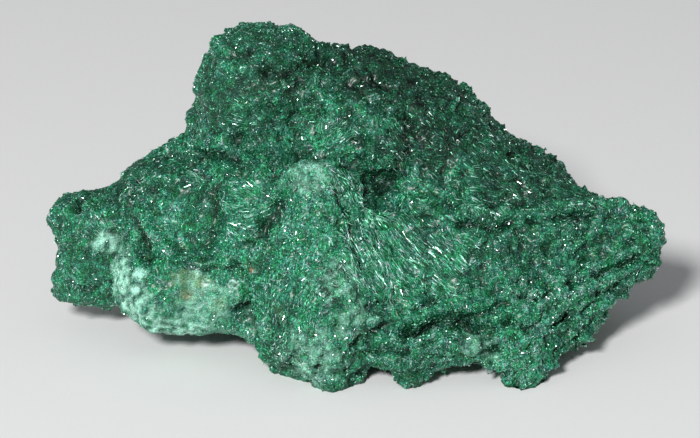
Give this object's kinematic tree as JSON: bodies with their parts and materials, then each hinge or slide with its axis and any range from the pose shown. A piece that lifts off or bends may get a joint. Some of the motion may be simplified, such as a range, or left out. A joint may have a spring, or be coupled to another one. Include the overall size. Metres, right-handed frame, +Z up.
{
  "type": "malachite specimen",
  "caption": "Natural fibrous malachite specimen: a rough, velvety green stone with a knob, a sloping back and a tapered end, standing on worn feet.",
  "frame": {"origin": "centre of the footprint's bounding box, on the surface the stone rests on", "axes": "+X from the squared tail to the wing tip, along the stone; +Y from the side with the pointed prow to the back; +Z up"},
  "size_m": [0.12, 0.065, 0.0604],
  "materials": {
    "malachite": "velvety fibrous crystal sprays with fine silky glints"
  },
  "bodies": {
    "root": {"malachite": "malachite"}
  },
  "joints": []
}
